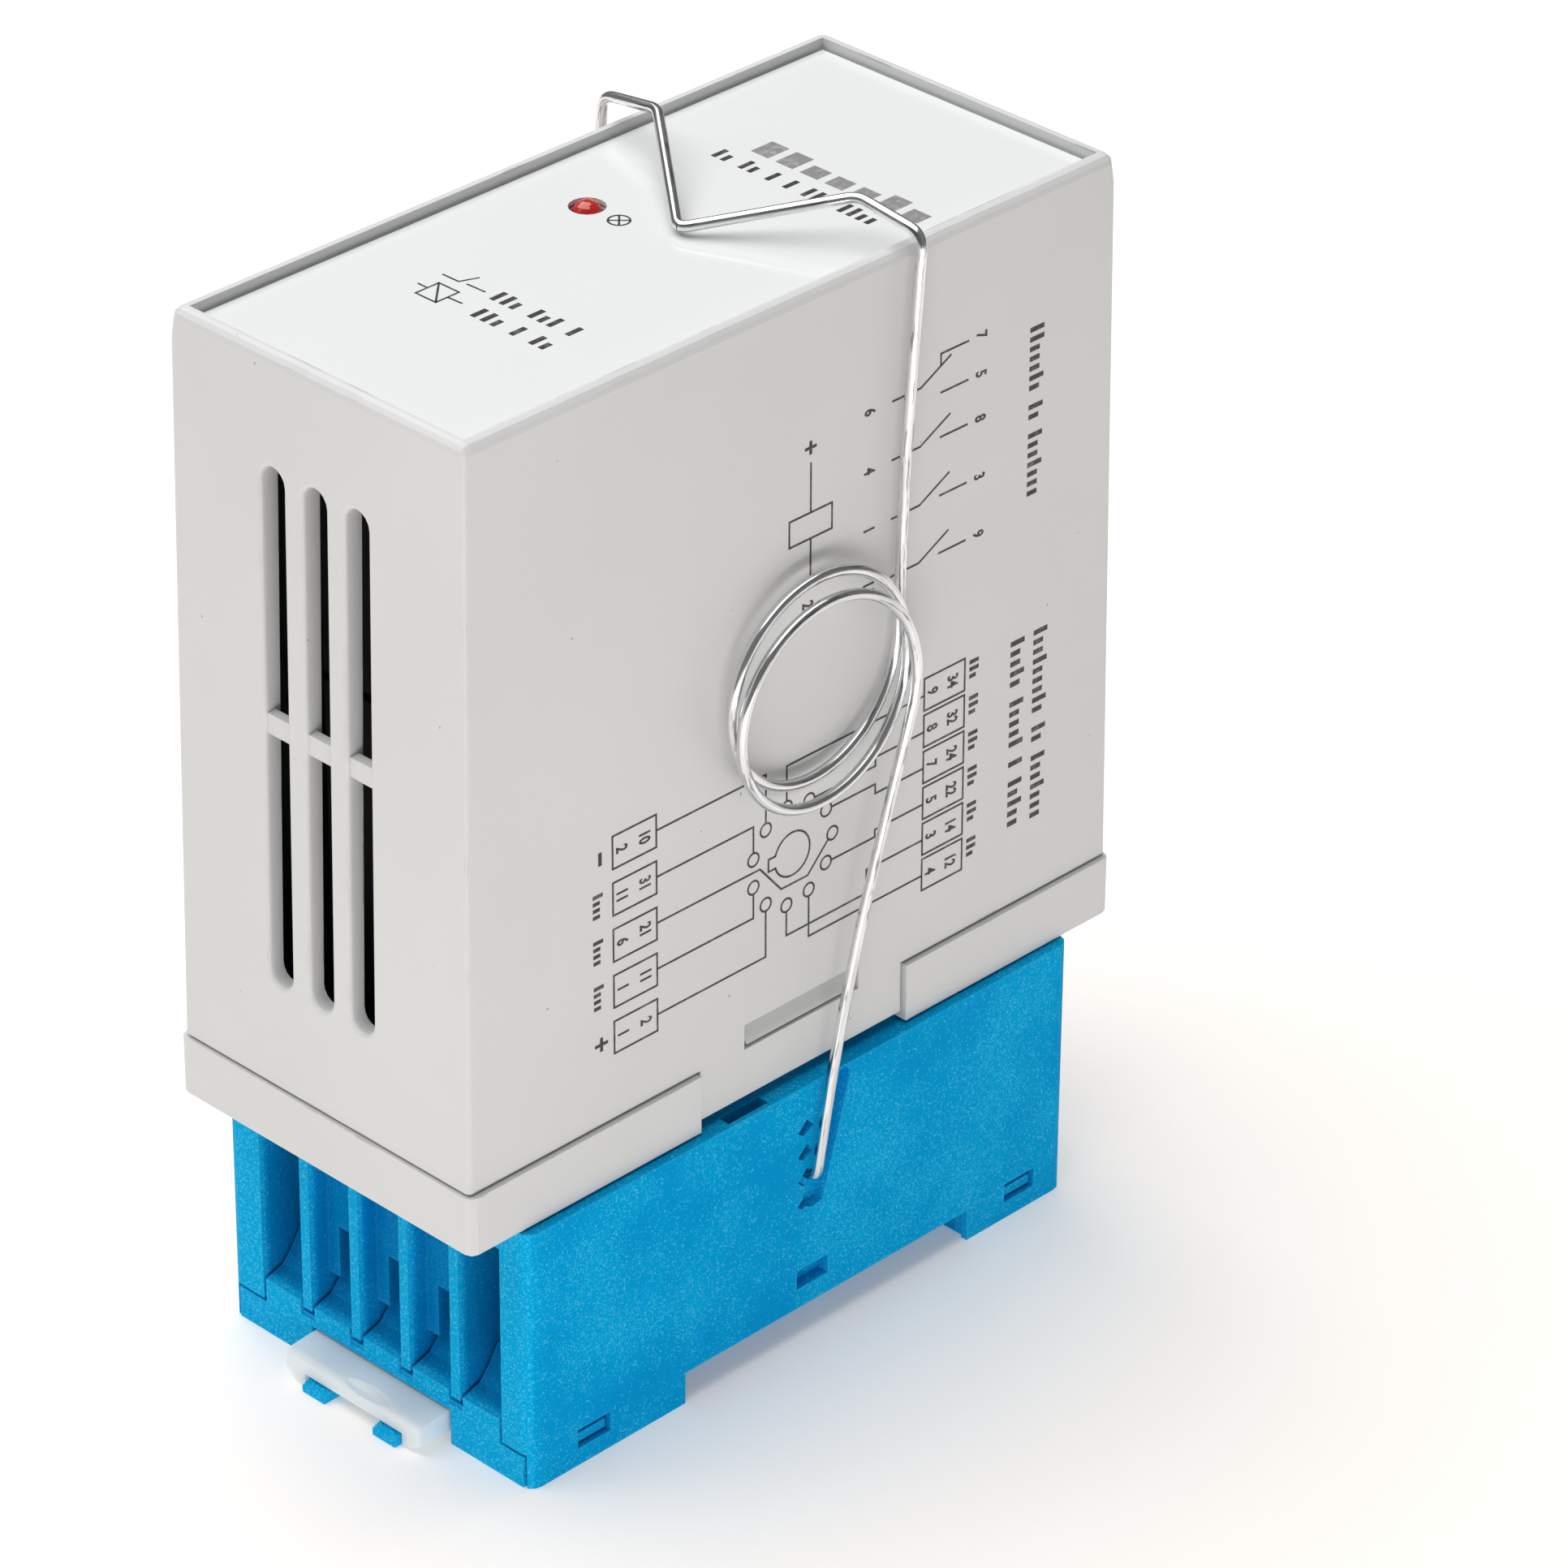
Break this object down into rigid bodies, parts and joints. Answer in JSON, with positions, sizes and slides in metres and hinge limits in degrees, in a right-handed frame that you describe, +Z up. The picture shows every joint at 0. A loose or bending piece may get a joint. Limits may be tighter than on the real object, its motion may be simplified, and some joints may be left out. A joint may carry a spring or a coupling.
{
  "type": "plug-in relay with socket",
  "caption": "Plug-in relay module in a screw-terminal rail socket, held by a sprung wire clip that loops over its top.",
  "frame": {"origin": "centre of the box's underside, at the base of the socket", "axes": "+Z up, along the direction in which the relay module unplugs; X along the wide faces, with the rail clip at -X; Y across the object, the printed wide face at -Y"},
  "size_m": [0.0784, 0.0432, 0.105],
  "materials": {
    "cover_grey": "satin light grey moulding",
    "label_white": "glossy off-white printed plate",
    "led_red": "clear red lens",
    "board_green": "solder-masked circuit board",
    "socket_blue": "fibre-filled moulding with pale fibre speckle",
    "nylon_white": "translucent natural nylon",
    "wire_steel": "bright drawn spring wire",
    "screw_steel": "zinc-plated screw",
    "tinned_brass": "tinned brass",
    "relay_case_dark": "near-black case",
    "relay_moulding": "dark moulding",
    "coil_copper": "enamelled copper winding",
    "relay_steel": "plated soft iron"
  },
  "bodies": {
    "socket": {"socket_housing": "socket_blue", "socket_base_plate": "socket_blue", "terminal_strip_a1": "tinned_brass", "terminal_strip_a2": "tinned_brass", "terminal_strip_a3": "tinned_brass", "terminal_strip_a4": "tinned_brass", "terminal_strip_a5": "tinned_brass", "terminal_strip_b1": "tinned_brass", "terminal_strip_b2": "tinned_brass", "terminal_strip_b3": "tinned_brass", "terminal_strip_b4": "tinned_brass", "terminal_strip_b5": "tinned_brass", "terminal_strip_b6": "tinned_brass"},
    "relay_module": {"relay_cover": "cover_grey", "relay_base": "cover_grey", "label_plate": "label_white", "status_led": "led_red", "pin_board": "board_green", "relay_board": "board_green", "contact_pin_01": "tinned_brass", "contact_pin_02": "tinned_brass", "contact_pin_03": "tinned_brass", "contact_pin_04": "tinned_brass", "contact_pin_05": "tinned_brass", "contact_pin_06": "tinned_brass", "contact_pin_07": "tinned_brass", "contact_pin_08": "tinned_brass", "contact_pin_09": "tinned_brass", "contact_pin_10": "tinned_brass", "contact_pin_11": "tinned_brass", "lower_relay_case": "relay_case_dark", "lower_relay_base": "relay_moulding", "lower_relay_coil": "coil_copper", "lower_relay_yoke": "relay_steel", "upper_relay_case": "relay_case_dark", "upper_relay_base": "relay_moulding", "upper_relay_coil": "coil_copper", "upper_relay_yoke": "relay_steel"},
    "lower_armature": {"lower_relay_armature": "relay_steel"},
    "lower_card": {"lower_relay_contact_card": "relay_moulding"},
    "upper_armature": {"upper_relay_armature": "relay_steel"},
    "upper_card": {"upper_relay_contact_card": "relay_moulding"},
    "clip_legs": {"clip_leg_front": "wire_steel", "clip_leg_rear": "wire_steel"},
    "clip_coils": {"clip_coil_front": "wire_steel", "clip_coil_rear": "wire_steel"},
    "clip_bail": {"clip_bail": "wire_steel"},
    "rail_clip": {"din_clip": "nylon_white"},
    "terminal_screw_a1": {"terminal_screw_a1": "screw_steel"},
    "terminal_screw_a2": {"terminal_screw_a2": "screw_steel"},
    "terminal_screw_a3": {"terminal_screw_a3": "screw_steel"},
    "terminal_screw_a4": {"terminal_screw_a4": "screw_steel"},
    "terminal_screw_a5": {"terminal_screw_a5": "screw_steel"},
    "terminal_screw_b1": {"terminal_screw_b1": "screw_steel"},
    "terminal_screw_b2": {"terminal_screw_b2": "screw_steel"},
    "terminal_screw_b3": {"terminal_screw_b3": "screw_steel"},
    "terminal_screw_b4": {"terminal_screw_b4": "screw_steel"},
    "terminal_screw_b5": {"terminal_screw_b5": "screw_steel"},
    "terminal_screw_b6": {"terminal_screw_b6": "screw_steel"}
  },
  "joints": [
    {"name": "relay_unplug", "type": "slide", "parent": "socket", "child": "relay_module", "axis": [0, 0, 1], "range_m": [0, 0.01]},
    {"name": "clip_swing", "type": "hinge", "parent": "socket", "child": "clip_legs", "pos_m": [0.00015, 0, 0.01675], "axis": [0, 1, 0], "range_deg": [0, 26]},
    {"name": "coil_stretch", "type": "slide", "parent": "clip_legs", "child": "clip_coils", "axis": [0, 0, 1], "range_m": [0, 0.0112]},
    {"name": "bail_lift", "type": "slide", "parent": "clip_coils", "child": "clip_bail", "axis": [0, 0, 1], "range_m": [0, 0.01]},
    {"name": "rail_clip_pull", "type": "slide", "parent": "socket", "child": "rail_clip", "axis": [-1, 0, 0], "range_m": [0, 0.0025], "stiffness_N_per_m": 600, "springref_m": -0.001},
    {"name": "lower_armature_pull_in", "type": "hinge", "parent": "relay_module", "child": "lower_armature", "pos_m": [-0.022, -0.00835, 0.0397], "axis": [-1, 0, 0], "range_deg": [0, 4], "stiffness_Nm_per_rad": 0.01, "springref_deg": -2.86},
    {"name": "lower_card_travel", "type": "slide", "parent": "relay_module", "child": "lower_card", "axis": [0, 1, 0], "range_m": [0, 0.00095]},
    {"name": "upper_armature_pull_in", "type": "hinge", "parent": "relay_module", "child": "upper_armature", "pos_m": [-0.022, -0.00835, 0.0695], "axis": [-1, 0, 0], "range_deg": [0, 4], "stiffness_Nm_per_rad": 0.01, "springref_deg": -2.86},
    {"name": "upper_card_travel", "type": "slide", "parent": "relay_module", "child": "upper_card", "axis": [0, 1, 0], "range_m": [0, 0.00095]},
    {"name": "screw_turn_a1", "type": "hinge", "parent": "socket", "child": "terminal_screw_a1", "pos_m": [-0.0255, -0.0129, 0.0194], "axis": [0, 0, 1], "range_deg": [0, 1080]},
    {"name": "screw_turn_a2", "type": "hinge", "parent": "socket", "child": "terminal_screw_a2", "pos_m": [-0.0255, -0.0066, 0.0194], "axis": [0, 0, 1], "range_deg": [0, 1080]},
    {"name": "screw_turn_a3", "type": "hinge", "parent": "socket", "child": "terminal_screw_a3", "pos_m": [-0.0255, -0.0003, 0.0194], "axis": [0, 0, 1], "range_deg": [0, 1080]},
    {"name": "screw_turn_a4", "type": "hinge", "parent": "socket", "child": "terminal_screw_a4", "pos_m": [-0.0255, 0.006, 0.0194], "axis": [0, 0, 1], "range_deg": [0, 1080]},
    {"name": "screw_turn_a5", "type": "hinge", "parent": "socket", "child": "terminal_screw_a5", "pos_m": [-0.0255, 0.0123, 0.0194], "axis": [0, 0, 1], "range_deg": [0, 1080]},
    {"name": "screw_turn_b1", "type": "hinge", "parent": "socket", "child": "terminal_screw_b1", "pos_m": [0.0251, -0.01275, 0.0194], "axis": [0, 0, 1], "range_deg": [0, 1080]},
    {"name": "screw_turn_b2", "type": "hinge", "parent": "socket", "child": "terminal_screw_b2", "pos_m": [0.0251, -0.00765, 0.0194], "axis": [0, 0, 1], "range_deg": [0, 1080]},
    {"name": "screw_turn_b3", "type": "hinge", "parent": "socket", "child": "terminal_screw_b3", "pos_m": [0.0251, -0.00255, 0.0194], "axis": [0, 0, 1], "range_deg": [0, 1080]},
    {"name": "screw_turn_b4", "type": "hinge", "parent": "socket", "child": "terminal_screw_b4", "pos_m": [0.0251, 0.00255, 0.0194], "axis": [0, 0, 1], "range_deg": [0, 1080]},
    {"name": "screw_turn_b5", "type": "hinge", "parent": "socket", "child": "terminal_screw_b5", "pos_m": [0.0251, 0.00765, 0.0194], "axis": [0, 0, 1], "range_deg": [0, 1080]},
    {"name": "screw_turn_b6", "type": "hinge", "parent": "socket", "child": "terminal_screw_b6", "pos_m": [0.0251, 0.01275, 0.0194], "axis": [0, 0, 1], "range_deg": [0, 1080]}
  ],
  "couplings": [
    {"joint": "coil_stretch", "follows": "clip_swing", "m_per_rad": 0.0245},
    {"joint": "bail_lift", "follows": "relay_unplug", "ratio": 1},
    {"joint": "lower_card_travel", "follows": "lower_armature_pull_in", "m_per_rad": 0.013},
    {"joint": "upper_card_travel", "follows": "upper_armature_pull_in", "m_per_rad": 0.013}
  ]
}
